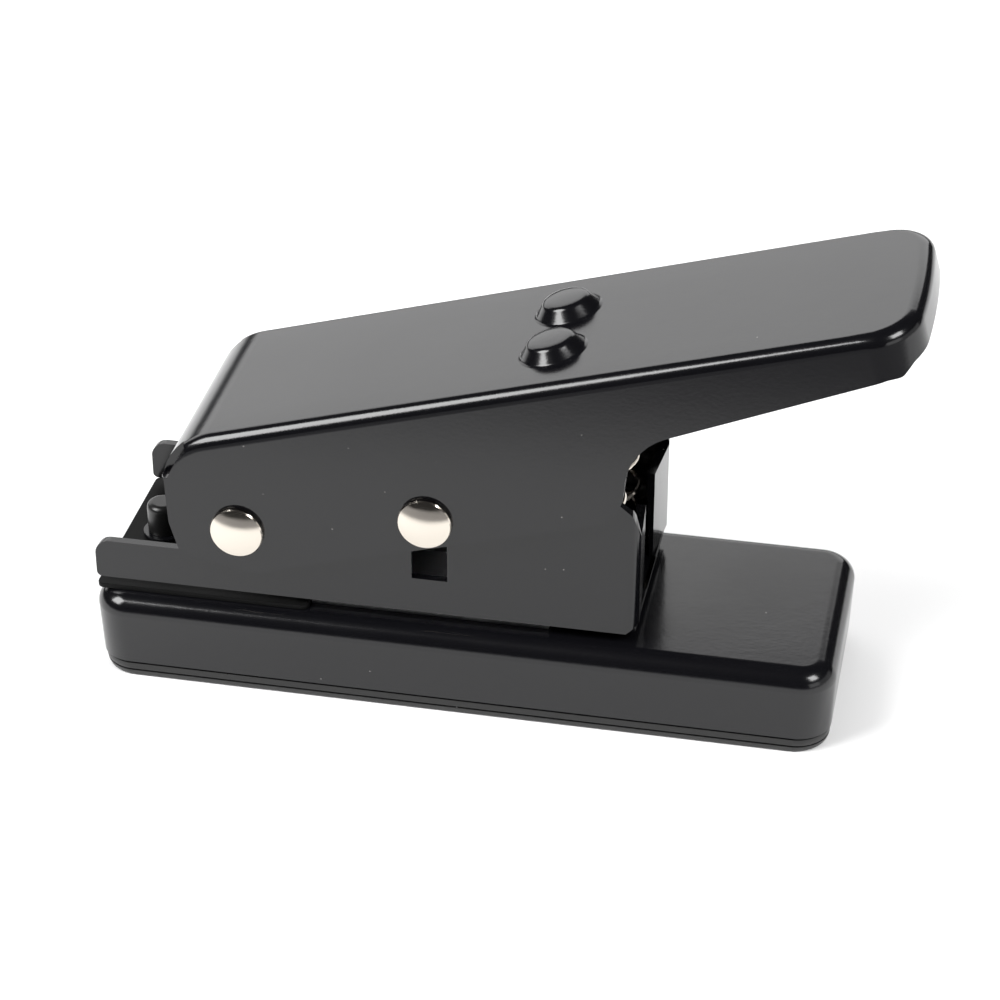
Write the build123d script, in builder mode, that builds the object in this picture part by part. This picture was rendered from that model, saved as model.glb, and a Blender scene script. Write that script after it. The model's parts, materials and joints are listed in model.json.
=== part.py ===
from build123d import *
import os
from math import cos, radians, sin

# Lever-operated card punch, in millimetres. Origin: centre of the base's underside.
# +X runs from the card entry at the rear to the free end of the lever, +Z is up.

# ---- driving sizes -------------------------------------------------------------------------
base_length = 102.6
base_width = 33.7
base_height = 12.9
base_corner = 4.8
cover_sheet = 1.0
cover_edge = 2.8
cover_draft = 2.0
tray_lip = 2.2
tray_floor = 1.4
tray_wall = 1.2
tray_rim = 3.2
tray_inset = 0.4

sheet = 1.2
frame_length = 75.4
frame_width = 27.7
frame_top = 20.5
frame_setback = 0.4
wing_length = 12.5
wing_height = 5.85
floor_start = 27.5
flange_height = 14.6
flange_gap = 8.0

card_width = 15.0
card_gap = 0.9
plate_thickness = 0.7
plate_overhang = 0.5
plate_length = 30.0

lever_angle = 15.8
lever_reach = 96.2
lever_bow = 1.0
lever_top = 14.4
lever_belly = 6.8
lever_edge = 1.9
lever_corner = 6.0
lever_rear = 9.2
flap_inset = 1.85
wall_step = 0.8
flap_foot = 8.2
relief_width = 2.0
dimple_reach = 46.7
dimple_spacing = 11.4
dimple_diameter = 8.8
dimple_height = 2.0
dimple_flank = 1.3

pivot_run, pivot_rise = 21.1, 11.2
drive_run, drive_rise = 47.0, 15.75
rivet_diameter = 4.0
head_diameter = 7.3
head_height = 1.5
slot_width = 4.9
slot_foot = 5.3

punch_length = 12.3
punch_width = 8.8
punch_tip = 0.5
die_length = 33.0
die_depth = 6.0
ram_length = 15.0
ram_foot = 11.3
ram_head = 19.7
guide_thickness = 2.7
guide_screw_run = 6.5
guide_screw_gap = 4.0
small_screw = 2.0
small_head = 3.8
small_head_depth = 1.4
ram_screw_run = 1.9
ram_screw_grip = 4.0
ram_head_depth = 2.2
ram_head_radius = 1.6
pin_drift = 0.45

spring_run = 68.0
spring_diameter = 8.0
spring_wire = 0.8
screw_diameter = 2.5
stud_run = 5.5
stud_diameter = 4.6
stud_height = 5.2

# ---- clearances ----------------------------------------------------------------------------
running = 0.05
sliding = 0.1
loose = 0.3
snap = 0.15
card_play = 0.15
side_gap = 0.8

# ---- derived places ------------------------------------------------------------------------
plate_bottom = base_height
plate_top = plate_bottom + plate_thickness
frame_bottom = plate_top + card_gap
rear = -base_length / 2 + frame_setback
pivot_x, pivot_z = rear + pivot_run, frame_bottom + pivot_rise
drive_x, drive_z = rear + drive_run, frame_bottom + drive_rise
spring_x = rear + spring_run
stud_x = rear + stud_run
frame_half = frame_width / 2
lever_half = frame_half + side_gap + sheet
flap_half = lever_half - flap_inset
rivet_radius, head_radius = rivet_diameter / 2, head_diameter / 2
floor_top = frame_bottom + sheet
screw_radius, small_radius, small_head_radius = screw_diameter / 2, small_screw / 2, small_head / 2
die_half_width = frame_half - sheet - loose
rail_inner = card_width / 2 + card_play
screw_y = (rail_inner + die_half_width) / 2
die_start = rear + plate_length + sliding
die_middle = die_start + die_length / 2
screw_spots = [(die_middle + sx * (die_length / 2 - 3), sy * screw_y) for sx in (-1, 1) for sy in (-1, 1)]
die_body_length, die_body_width = punch_length + 8, punch_width + 6
underside = lever_top - sheet
a = radians(lever_angle)


def lever_point(u, v, y=0.0):
    """Turn a place along and above the lever into the part's frame."""
    return Vector(pivot_x + u * cos(a) - v * sin(a), y, pivot_z + u * sin(a) + v * cos(a))


lever_up, lever_along = (-sin(a), 0, cos(a)), (cos(a), 0, sin(a))
frame_side = Plane(origin=(rear, 0, frame_bottom), x_dir=(1, 0, 0), z_dir=(0, -1, 0))
lever_side = Plane(origin=(pivot_x, 0, pivot_z), x_dir=(cos(a), 0, sin(a)), z_dir=(0, -1, 0))
os.makedirs("parts", exist_ok=True)


def save(piece, name):
    """Label a finished piece and write it as its own STEP file."""
    piece.part.label = name
    export_step(piece.part, f"parts/{name}.step")


# ---- base ----------------------------------------------------------------------------------
seam = tray_lip
with BuildPart() as base_cover:
    with BuildSketch(Plane.XY.offset(base_height - cover_edge)):
        RectangleRounded(base_length, base_width, base_corner)
    extrude(amount=cover_edge)
    with BuildSketch(Plane.XY.offset(base_height - cover_edge)):
        RectangleRounded(base_length, base_width, base_corner)
    extrude(amount=-(base_height - cover_edge - seam), taper=cover_draft)
    fillet(base_cover.faces().sort_by(Axis.Z)[-1].edges(), cover_edge - 0.05)
    with BuildSketch(Plane.XY.offset(base_height - cover_edge)):
        RectangleRounded(base_length - 2 * cover_sheet, base_width - 2 * cover_sheet, base_corner - cover_sheet)
    extrude(amount=cover_edge - cover_sheet, taper=20, mode=Mode.SUBTRACT)
    with BuildSketch(Plane.XY.offset(base_height - cover_edge)):
        RectangleRounded(base_length - 2 * cover_sheet, base_width - 2 * cover_sheet, base_corner - cover_sheet)
    extrude(amount=-(base_height - cover_edge - seam), taper=cover_draft, mode=Mode.SUBTRACT)
    with BuildSketch(Plane.XY.offset(base_height)):
        with Locations((drive_x, 0)):
            Rectangle(die_body_length + 2 * sliding, die_body_width + 2 * sliding)
        with Locations(*screw_spots):
            Circle(screw_radius + sliding)
        with Locations((stud_x, 0)):
            Circle(screw_radius + sliding)
    extrude(amount=-2 * cover_sheet, mode=Mode.SUBTRACT)
save(base_cover, "base_cover")

skirt = 2 * (base_height - cover_edge - seam) * sin(radians(cover_draft))
foot_length, foot_width = base_length - skirt - tray_inset, base_width - skirt - tray_inset
rim_inset = cover_sheet + snap + (tray_rim + 1) * sin(radians(cover_draft))
rim_length, rim_width = base_length - skirt - 2 * rim_inset, base_width - skirt - 2 * rim_inset
rim_corner = base_corner - rim_inset
with BuildPart() as bottom_tray:
    with BuildSketch(Plane.XY.offset(seam)):
        RectangleRounded(foot_length, foot_width, base_corner)
    extrude(amount=-seam, taper=4)
    fillet(bottom_tray.faces().sort_by(Axis.Z)[0].edges(), 0.6)
    with BuildSketch(Plane.XY.offset(seam)):
        RectangleRounded(rim_length, rim_width, rim_corner)
    extrude(amount=tray_rim)
    with BuildSketch(Plane.XY.offset(tray_floor)):
        RectangleRounded(rim_length - 2 * tray_wall, rim_width - 2 * tray_wall, rim_corner - tray_wall)
    extrude(amount=seam + tray_rim, mode=Mode.SUBTRACT)
save(bottom_tray, "bottom_tray")

# ---- card path -----------------------------------------------------------------------------
plate_half = frame_half + plate_overhang
with BuildPart() as guide_plate:
    with BuildSketch(Plane.XY.offset(plate_bottom)):
        with Locations((rear + plate_length / 2, 0)):
            RectangleRounded(plate_length, 2 * plate_half, 1.0)
        with Locations((stud_x, 0)):
            Circle(screw_radius + sliding, mode=Mode.SUBTRACT)
    extrude(amount=plate_thickness)
save(guide_plate, "guide_plate")

with BuildPart() as die_block:
    with BuildSketch(Plane.XY.offset(plate_bottom)):
        with Locations((die_middle, 0)):
            Rectangle(die_length, 2 * die_half_width)
        with Locations(*screw_spots):
            Circle(screw_radius + sliding, mode=Mode.SUBTRACT)
    extrude(amount=plate_thickness)
    with BuildSketch(Plane.XY.offset(plate_bottom)):
        with Locations((drive_x, 0)):
            Rectangle(die_body_length, die_body_width)
    extrude(amount=-die_depth)
    with BuildSketch(Plane.XY.offset(plate_top)):
        with Locations((drive_x, 0)):
            Rectangle(punch_length + 2 * running, punch_width + 2 * running)
    extrude(amount=-die_depth - plate_thickness, mode=Mode.SUBTRACT)
save(die_block, "die_block")

rail_start, rail_end = rear + floor_start, die_start + die_length
for name, side in (("card_rail_right", -1), ("card_rail_left", 1)):
    with BuildPart() as card_rail:
        with BuildSketch(Plane.XY.offset(plate_top)):
            with Locations(((rail_start + rail_end) / 2, side * screw_y)):
                Rectangle(rail_end - rail_start, die_half_width - rail_inner)
            with Locations(*[spot for spot in screw_spots if spot[1] * side > 0]):
                Circle(screw_radius + sliding, mode=Mode.SUBTRACT)
        extrude(amount=card_gap)
    save(card_rail, name)

# ---- side frame ----------------------------------------------------------------------------
with BuildPart() as side_frame:
    with BuildSketch(frame_side):
        with BuildLine():
            FilletPolyline(
                (0, 0), (frame_length - 1.6, 0), (frame_length, 1.4), (frame_length, flange_height),
                (frame_length - 0.9, 18.6), (frame_length - 3.2, frame_top), (20.0, frame_top),
                (15.2, 15.0), (13.6, wing_height + 0.8), (wing_length, wing_height + 0.7),
                (wing_length - 0.6, wing_height), (0, wing_height),
                radius=[0.8, 0, 0, 0, 2.0, 2.0, 4.0, 4.0, 0.6, 0.3, 0.3, 2.2], close=True,
            )
        make_face()
    extrude(amount=frame_half, both=True)
    with BuildSketch(Plane.XY.offset(floor_top)):
        with Locations((rear + (frame_length - sheet) / 2, 0)):
            Rectangle(frame_length - sheet, frame_width - 2 * sheet)
    extrude(amount=frame_top, mode=Mode.SUBTRACT)
    with BuildSketch(Plane.XY.offset(frame_bottom)):
        with Locations((rear + floor_start / 2 - 1, 0)):
            Rectangle(floor_start + 2, frame_width - 2 * sheet)
    extrude(amount=frame_top, mode=Mode.SUBTRACT)
    with BuildSketch(Plane.YZ.offset(rear + frame_length - sheet)):
        with Locations((0, floor_top + frame_top)):
            Rectangle(flange_gap, 2 * frame_top)
        with Locations((0, frame_bottom + flange_height + frame_top)):
            Rectangle(frame_width - 2 * sheet, 2 * frame_top)
    extrude(amount=2 * sheet, mode=Mode.SUBTRACT)
    with BuildSketch(frame_side):
        with Locations((pivot_run, pivot_rise)):
            Circle(rivet_radius + running)
        slot_head = drive_rise + rivet_radius + sliding
        with Locations((drive_run, (slot_foot + slot_head) / 2)):
            Rectangle(slot_width, slot_head - slot_foot)
    extrude(amount=frame_half, both=True, mode=Mode.SUBTRACT)
    with BuildSketch(Plane.XY.offset(frame_bottom)):
        with Locations(*screw_spots):
            Circle(screw_radius)
        with Locations((drive_x, 0)):
            Rectangle(punch_length + 2 * loose, punch_width + 2 * loose)
    extrude(amount=sheet, mode=Mode.SUBTRACT)
save(side_frame, "side_frame")

screw_head_top = base_height - cover_sheet
with BuildPart() as frame_screws:
    with BuildSketch(Plane.XY.offset(screw_head_top)):
        with Locations(*screw_spots):
            Circle(screw_radius)
    extrude(amount=floor_top - screw_head_top)
    with BuildSketch(Plane.XY.offset(screw_head_top)):
        with Locations(*screw_spots):
            Circle(2 * screw_radius)
    extrude(amount=-1.6)
save(frame_screws, "frame_screws")

with BuildPart() as rear_stud:
    with BuildSketch(Plane.XY.offset(plate_top + sheet / 2)):
        with Locations((stud_x, 0)):
            Circle(stud_diameter / 2)
    extrude(amount=stud_height - sheet / 2)
    fillet(rear_stud.faces().sort_by(Axis.Z)[-1].edges(), 0.9)
    with BuildSketch(Plane.XY.offset(plate_top + sheet / 2)):
        with Locations((stud_x, 0)):
            Circle(screw_radius)
    extrude(amount=-(plate_thickness + cover_sheet + sheet / 2 + 2.4))
save(rear_stud, "rear_stud")

with BuildPart() as stud_washer:
    with BuildSketch(Plane.XY.offset(plate_top)):
        with Locations((stud_x, 0)):
            Circle(stud_diameter / 2 + 0.7)
            Circle(screw_radius + sliding, mode=Mode.SUBTRACT)
    extrude(amount=sheet / 2)
save(stud_washer, "stud_washer")

with BuildPart() as stud_nut:
    with BuildSketch(Plane.XY.offset(base_height - cover_sheet)):
        with Locations((stud_x, 0)):
            RegularPolygon(2.9, 6)
            Circle(screw_radius, mode=Mode.SUBTRACT)
    extrude(amount=-2.0)
save(stud_nut, "stud_nut")

# ---- punch, ram and their guide ------------------------------------------------------------
guide_length, guide_width = punch_length + 6, frame_width - 2 * sheet - 2 * loose
guide_y = punch_width / 2 + guide_screw_gap
guide_spots = [(drive_x + sx * guide_screw_run, sy * guide_y) for sx in (-1, 1) for sy in (-1, 1)]
guide_top = floor_top + guide_thickness
with BuildPart() as punch_guide:
    with BuildSketch(Plane.XY.offset(floor_top)):
        with Locations((drive_x, 0)):
            Rectangle(guide_length, guide_width)
            Rectangle(punch_length + 2 * running, punch_width + 2 * running, mode=Mode.SUBTRACT)
        with Locations(*guide_spots):
            Circle(small_radius, mode=Mode.SUBTRACT)
    extrude(amount=guide_thickness)
    with BuildSketch(Plane.XY.offset(guide_top)):
        with Locations(*guide_spots):
            Circle(small_head_radius + sliding)
    extrude(amount=-small_head_depth, mode=Mode.SUBTRACT)
save(punch_guide, "punch_guide")

with BuildPart() as guide_screws:
    with BuildSketch(Plane.XY.offset(floor_top)):
        with Locations(*guide_spots):
            Circle(small_radius)
    extrude(amount=guide_thickness - small_head_depth)
    with BuildSketch(Plane.XY.offset(guide_top - sliding)):
        with Locations(*guide_spots):
            Circle(small_head_radius)
    extrude(amount=sliding - small_head_depth)
save(guide_screws, "guide_screws")

ram_bottom, ram_top = frame_bottom + ram_foot, frame_bottom + ram_head
ram_spots = [(drive_x + side * (punch_length / 2 - ram_screw_run), 0) for side in (-1, 1)]
ram_seat = ram_top - ram_head_depth
with BuildPart() as punch:
    with BuildSketch(Plane.XY.offset(frame_bottom + punch_tip)):
        with Locations((drive_x, 0)):
            Rectangle(punch_length, punch_width)
    extrude(amount=ram_foot - punch_tip)
    chamfer(punch.edges().filter_by(Axis.Z).group_by(Axis.X)[-1].sort_by(Axis.Y)[0], 1.6)
    with BuildSketch(Plane.XY.offset(ram_bottom)):
        with Locations(*ram_spots):
            Circle(small_radius)
    extrude(amount=-ram_screw_grip, mode=Mode.SUBTRACT)
save(punch, "punch")

with BuildPart() as punch_ram:
    with BuildSketch(Plane.XY.offset(ram_bottom)):
        with Locations((drive_x, 0)):
            Rectangle(ram_length, frame_width - 2 * sheet - 2 * loose)
        with Locations(*ram_spots):
            Circle(small_radius, mode=Mode.SUBTRACT)
    extrude(amount=ram_head - ram_foot)
    with BuildSketch(Plane.XY.offset(ram_top)):
        with Locations(*ram_spots):
            Circle(ram_head_radius + running)
    extrude(amount=-ram_head_depth, mode=Mode.SUBTRACT)
    with BuildSketch(frame_side):
        with Locations((drive_run, drive_rise)):
            SlotOverall(2 * (rivet_radius + sliding + pin_drift), 2 * (rivet_radius + sliding))
    extrude(amount=frame_half, both=True, mode=Mode.SUBTRACT)
save(punch_ram, "punch_ram")

with BuildPart() as ram_screws:
    with BuildSketch(Plane.XY.offset(ram_bottom - ram_screw_grip + sliding)):
        with Locations(*ram_spots):
            Circle(small_radius)
    extrude(amount=ram_seat - ram_bottom + ram_screw_grip - sliding)
    with BuildSketch(Plane.XY.offset(ram_seat)):
        with Locations(*ram_spots):
            Circle(ram_head_radius)
    extrude(amount=ram_head_depth - 4 * sliding)
save(ram_screws, "ram_screws")

# ---- lever ---------------------------------------------------------------------------------
rear_radius = lever_rear + 0.1
wall_foot = flap_foot - 5.5


def pressing(inside):
    """The lever's outer form, or its hollow when inside is the sheet's thickness."""
    half, nose, ceiling = lever_half - inside, lever_reach - inside, lever_top - inside
    back, shoulder, depth = -lever_rear + inside, lever_reach - inside - lever_bow, lever_top + 20
    with BuildPart() as form:
        with BuildSketch(Plane(origin=lever_point(0, ceiling), x_dir=lever_along, z_dir=lever_up)) as plan:
            with BuildLine():
                Polyline((shoulder, half), (back, half), (back, -half), (shoulder, -half))
                ThreePointArc((shoulder, -half), (nose, 0), (shoulder, half))
            make_face()
            fillet(plan.vertices().group_by(Axis.X)[-1], lever_corner - inside)
        extrude(amount=-depth)
        with BuildSketch(lever_side):
            with BuildLine():
                FilletPolyline(
                    (back, ceiling - depth), (back, ceiling), (nose, ceiling), (nose, ceiling - depth),
                    radius=[0, rear_radius - inside, 0, 0], close=True,
                )
            make_face()
        extrude(amount=half, both=True, mode=Mode.INTERSECT)
        crest = form.faces().sort_by(Axis.Z)[-1]
        long_edges = crest.edges().filter_by(lambda e: abs(e.center().Y) > half - 0.1)
        fillet(long_edges, lever_edge - inside)
    return form.part


with BuildPart() as lever_arm:
    add(pressing(0))
    add(pressing(sheet), mode=Mode.SUBTRACT)
    outline = [
        (-lever_rear, lever_top), (-lever_rear, -1.9), (0.5, -lever_belly - 0.4), (6.0, -lever_belly),
        (52.0, -lever_belly), (56.0, 3.85), (90.6, 8.1), (92.4, 7.9), (94.0, 9.1),
        (lever_reach, 10.2), (lever_reach, lever_top),
    ]
    corners = [rear_radius, 1.4, 6.0, 10.0, 5.6, 8.0, 2.0, 0.8, 1.0, 0.5, 0]
    with BuildSketch(lever_side):
        with BuildLine():
            FilletPolyline(*outline, radius=corners, close=True)
        make_face()
    extrude(amount=lever_half, both=True, mode=Mode.INTERSECT)
    for side in (-1, 1):
        # The rear of each wall keeps its square cut edge.
        with BuildSketch(lever_side.offset(-side * lever_half)):
            with BuildLine():
                FilletPolyline(*outline, radius=corners, close=True)
            make_face()
            with Locations((lever_reach / 2, lever_top)):
                Rectangle(2 * lever_reach, 2 * lever_edge, mode=Mode.SUBTRACT)
            with Locations((lever_reach, 0)):
                Rectangle(2 * lever_reach, 4 * lever_top, mode=Mode.SUBTRACT)
        extrude(amount=side * sheet)
        # Corner relief parts the curled rear flap from the wall.
        with BuildSketch(lever_side.offset(-side * lever_half)):
            with BuildLine(mode=Mode.PRIVATE):
                path = CenterArc((0, lever_top - rear_radius), rear_radius - 0.1, 113, 37)
            SlotArc(path, relief_width)
            with BuildLine():
                Polyline(
                    (-lever_rear - 1, wall_foot), (-lever_rear, wall_foot), (-lever_rear + wall_step, flap_foot - 2),
                    (-lever_rear + 2 * wall_step, flap_foot + sheet), (-lever_rear - 1, flap_foot + sheet),
                    close=True,
                )
            make_face()
        extrude(amount=side * (lever_half - flap_half), mode=Mode.SUBTRACT)
    with BuildSketch(lever_side):
        with Locations((-lever_rear, flap_foot)):
            Rectangle(10, 2 * (flap_foot + 2 * lever_belly), align=(Align.CENTER, Align.MAX))
    extrude(amount=lever_half - sheet, both=True, mode=Mode.SUBTRACT)
    # Two domed spring seats pressed up through the top.
    for side in (-1, 1):
        dome = Plane(lever_point(dimple_reach, lever_top, side * dimple_spacing / 2), z_dir=lever_up)
        for grow, drop, mode in ((0, 0, Mode.ADD), (-0.7, -sheet, Mode.SUBTRACT)):
            with BuildSketch(dome.offset(drop - 0.6)):
                Circle(dimple_diameter / 2 + grow)
            extrude(amount=0.6, mode=mode)
            with BuildSketch(dome.offset(drop)):
                Circle(dimple_diameter / 2 + grow)
            with BuildSketch(dome.offset(drop + dimple_height)):
                Circle(dimple_diameter / 2 + grow - dimple_flank)
            loft(mode=mode)
    with BuildSketch(frame_side):
        with Locations((pivot_run, pivot_rise), (drive_run, drive_rise)):
            Circle(rivet_radius)
    extrude(amount=lever_half, both=True, mode=Mode.SUBTRACT)
save(lever_arm, "lever_arm")

# ---- rivets, washers and spacer ------------------------------------------------------------
rivets = (("pivot_rivet", pivot_run, pivot_rise), ("drive_rivet", drive_run, drive_rise))
for name, run, rise in rivets:
    with BuildPart() as rivet:
        with BuildSketch(frame_side):
            with Locations((run, rise)):
                Circle(rivet_radius)
        extrude(amount=lever_half, both=True)
        for side in (-1, 1):
            with BuildSketch(frame_side.offset(side * lever_half)):
                with Locations((run, rise)):
                    Circle(head_radius)
            extrude(amount=side * head_height)
            rim = rivet.edges().filter_by(GeomType.CIRCLE).group_by(Axis.Y)[0 if side > 0 else -1]
            fillet(rim, head_height - 0.2)
    save(rivet, name)

washer_gap = lever_half - sheet - frame_half
washers = (("pivot_washers", pivot_run, pivot_rise), ("drive_washers", drive_run, drive_rise))
for name, run, rise in washers:
    with BuildPart() as washer:
        for side in (-1, 1):
            with BuildSketch(frame_side.offset(side * (frame_half + running))):
                with Locations((run, rise)):
                    Circle(head_radius)
                    Circle(rivet_radius, mode=Mode.SUBTRACT)
            extrude(amount=side * (washer_gap - running))
    save(washer, name)

with BuildPart() as pivot_spacer:
    with BuildSketch(frame_side):
        with Locations((pivot_run, pivot_rise)):
            Circle(rivet_radius + 1.6)
            Circle(rivet_radius + running, mode=Mode.SUBTRACT)
    extrude(amount=frame_half - sheet, both=True)
save(pivot_spacer, "pivot_spacer")

# ---- return springs ------------------------------------------------------------------------
seat_radius = spring_diameter / 2 - spring_wire - sliding
with BuildPart() as spring_seats:
    with BuildSketch(Plane.XY.offset(floor_top)):
        with Locations((spring_x, dimple_spacing / 2), (spring_x, -dimple_spacing / 2)):
            Circle(seat_radius)
    extrude(amount=2.0)
    fillet(spring_seats.faces().group_by(Axis.Z)[-1].edges(), 0.5)
save(spring_seats, "spring_seats")

for name, side in (("return_spring_right", -1), ("return_spring_left", 1)):
    y = side * dimple_spacing / 2
    crown = lever_point(dimple_reach, underside - spring_wire, y)
    with BuildPart() as return_spring:
        with BuildLine():
            spring_axis = Polyline((spring_x, y, floor_top), (spring_x, y, floor_top + 3.0), crown)
        coil = Plane(origin=(spring_x, y, floor_top), z_dir=(0, 0, 1))
        with BuildSketch(coil):
            Circle(spring_diameter / 2)
            Circle(spring_diameter / 2 - spring_wire, mode=Mode.SUBTRACT)
        sweep(path=spring_axis, transition=Transition.ROUND)
    save(return_spring, name)
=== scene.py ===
import json
import logging
import math
from dataclasses import dataclass
from enum import Enum
from typing import Callable, Sequence

import bmesh
import bpy
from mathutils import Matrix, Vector


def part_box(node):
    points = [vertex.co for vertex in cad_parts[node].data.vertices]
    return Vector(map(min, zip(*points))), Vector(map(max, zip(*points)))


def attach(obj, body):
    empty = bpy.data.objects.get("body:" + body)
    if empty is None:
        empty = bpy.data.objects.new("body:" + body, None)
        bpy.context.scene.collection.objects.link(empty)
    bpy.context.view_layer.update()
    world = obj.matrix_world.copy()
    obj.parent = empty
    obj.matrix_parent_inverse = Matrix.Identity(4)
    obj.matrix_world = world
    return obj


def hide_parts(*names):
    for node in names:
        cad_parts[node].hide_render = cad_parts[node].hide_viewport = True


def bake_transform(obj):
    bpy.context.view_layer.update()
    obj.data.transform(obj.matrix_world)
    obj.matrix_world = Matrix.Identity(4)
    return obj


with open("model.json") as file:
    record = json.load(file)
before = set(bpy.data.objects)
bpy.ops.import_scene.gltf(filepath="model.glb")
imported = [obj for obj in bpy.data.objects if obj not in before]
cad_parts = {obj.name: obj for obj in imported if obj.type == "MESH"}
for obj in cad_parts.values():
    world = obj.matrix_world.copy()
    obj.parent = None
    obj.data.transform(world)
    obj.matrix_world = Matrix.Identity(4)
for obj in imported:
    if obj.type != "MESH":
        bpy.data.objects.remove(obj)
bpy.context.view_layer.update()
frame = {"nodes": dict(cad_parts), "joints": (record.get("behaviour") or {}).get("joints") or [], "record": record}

log = logging.getLogger("card_punch")
MM = 0.001
TOUCH = 1e-6
WELD = 1e-7
Point = tuple[float, float]
Triple = tuple[float, float, float]


# ---- bench: the hand tools every piece is made with ----------------------------------------


def mm(*values: float) -> Vector:
    """Turn millimetres into a vector in metres."""
    return Vector([v * MM for v in values])


def rest_tools() -> None:
    """Leave edit mode and let go of everything that is selected."""
    if bpy.context.object and bpy.context.object.mode != "OBJECT":
        bpy.ops.object.mode_set(mode="OBJECT")
    bpy.ops.object.select_all(action="DESELECT")


def take(obj: bpy.types.Object) -> bpy.types.Object:
    """Make one object the only selected and active one.

    Args:
        obj: The object to work on.

    Returns:
        The same object.
    """
    rest_tools()
    bpy.context.view_layer.objects.active = obj
    obj.select_set(True)
    return obj


def pick(obj: bpy.types.Object, kind: str, wanted: Callable[[object], bool]) -> int:
    """Enter edit mode and select only the elements that a test wants.

    Args:
        obj: The mesh object.
        kind: "verts", "edges" or "faces".
        wanted: Says for each bmesh element whether it is selected.

    Returns:
        How many elements are selected.
    """
    take(obj)
    bpy.ops.object.mode_set(mode="EDIT")
    mode = {"verts": "VERT", "edges": "EDGE", "faces": "FACE"}[kind]
    bpy.ops.mesh.select_mode(type=mode)
    bpy.ops.mesh.select_all(action="DESELECT")
    mesh = bmesh.from_edit_mesh(obj.data)
    found = [e for e in getattr(mesh, kind) if wanted(e)]
    for element in found:
        element.select_set(True)
    mesh.select_flush_mode()
    bmesh.update_edit_mesh(obj.data)
    return len(found)


def apply_modifier(obj: bpy.types.Object, kind: str, **settings: object) -> None:
    """Add a modifier with its settings and apply it at once."""
    take(obj)
    modifier = obj.modifiers.new(kind.lower(), kind)
    for key, value in settings.items():
        setattr(modifier, key, value)
    bpy.ops.object.modifier_apply(modifier=modifier.name)


def combine(obj: bpy.types.Object, other: bpy.types.Object, operation: str) -> None:
    """Join, cut or trim obj with another closed mesh, which is used up."""
    apply_modifier(obj, "BOOLEAN", object=other, operation=operation, solver="EXACT")
    bpy.data.objects.remove(other, do_unlink=True)


def block(name: str, low: Vector, high: Vector) -> bpy.types.Object:
    """Add a box between two corners.

    Args:
        name: The object's name.
        low: Lowest corner, in metres.
        high: Highest corner, in metres.

    Returns:
        The box, with its place in its mesh.
    """
    rest_tools()
    bpy.ops.mesh.primitive_cube_add(size=1.0, location=(low + high) / 2)
    obj = bpy.context.object
    obj.name = name
    obj.scale = high - low
    bpy.ops.object.transform_apply(location=True, rotation=True, scale=True)
    return obj


def rise(edge: bmesh.types.BMEdge) -> float:
    """How far an edge climbs, in metres."""
    return abs(edge.verts[0].co.z - edge.verts[1].co.z)


def drawn_line(name: str, places: Sequence[Vector]) -> bpy.types.Object:
    """Draw a line of edges point by point and leave it selected in edit mode.

    Args:
        name: The object's name.
        places: The line's points, in metres.

    Returns:
        The line.
    """
    rest_tools()
    bpy.ops.mesh.primitive_plane_add(size=MM, location=(0, 0, 0))
    obj = bpy.context.object
    obj.name = name
    bpy.ops.object.mode_set(mode="EDIT")
    bpy.ops.mesh.select_mode(type="VERT")
    bpy.ops.mesh.select_all(action="SELECT")
    bpy.ops.mesh.merge(type="CENTER")
    bpy.ops.transform.translate(value=places[0])
    for start, end in zip(places, places[1:]):
        bpy.ops.mesh.extrude_region_move(TRANSFORM_OT_translate={"value": end - start})
    bpy.ops.mesh.select_all(action="SELECT")
    return obj


def bevel_edges(obj: bpy.types.Object, wanted: Callable[[object], bool], width: float, segments: int) -> None:
    """Round the edges that a test wants."""
    if pick(obj, "edges", wanted):
        bpy.ops.mesh.bevel(offset=width, segments=segments, affect="EDGES", clamp_overlap=False)
    bpy.ops.object.mode_set(mode="OBJECT")


def remove_faces(obj: bpy.types.Object, wanted: Callable[[object], bool]) -> None:
    """Take away the faces that a test wants, to open a shell."""
    if pick(obj, "faces", wanted):
        bpy.ops.mesh.delete(type="FACE")
    bpy.ops.object.mode_set(mode="OBJECT")


def traced_plate(name: str, corners: Sequence[Triple], low_y: float, high_y: float) -> bpy.types.Object:
    """Trace an outline in the XZ plane point by point, round its corners and pull it across Y.

    Args:
        name: The object's name.
        corners: (x, z, corner radius) in millimetres, in order round the outline.
        low_y: Where the plate starts across the punch, in millimetres.
        high_y: Where it ends.

    Returns:
        A closed plate.
    """
    places = [mm(x, low_y, z) for x, z, _ in corners]
    obj = drawn_line(name, places)
    bpy.ops.mesh.edge_face_add()
    for i, (_, _, radius) in enumerate(corners):
        if radius <= 0:
            continue
        before = (places[i - 1] - places[i]).normalized()
        after = (places[(i + 1) % len(places)] - places[i]).normalized()
        half = before.angle(after) / 2
        span = radius * MM / math.tan(half)
        steps = max(2, round((math.pi - 2 * half) / math.radians(9)))
        pick(obj, "verts", lambda v, p=places[i]: (v.co - p).length < TOUCH)
        bpy.ops.mesh.bevel(offset=span, segments=steps, affect="VERTICES", clamp_overlap=False)
    bpy.ops.mesh.select_all(action="SELECT")
    bpy.ops.mesh.extrude_region_move(TRANSFORM_OT_translate={"value": (0, (high_y - low_y) * MM, 0)})
    bpy.ops.mesh.select_all(action="SELECT")
    bpy.ops.mesh.normals_make_consistent(inside=False)
    rest_tools()
    return obj


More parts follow.
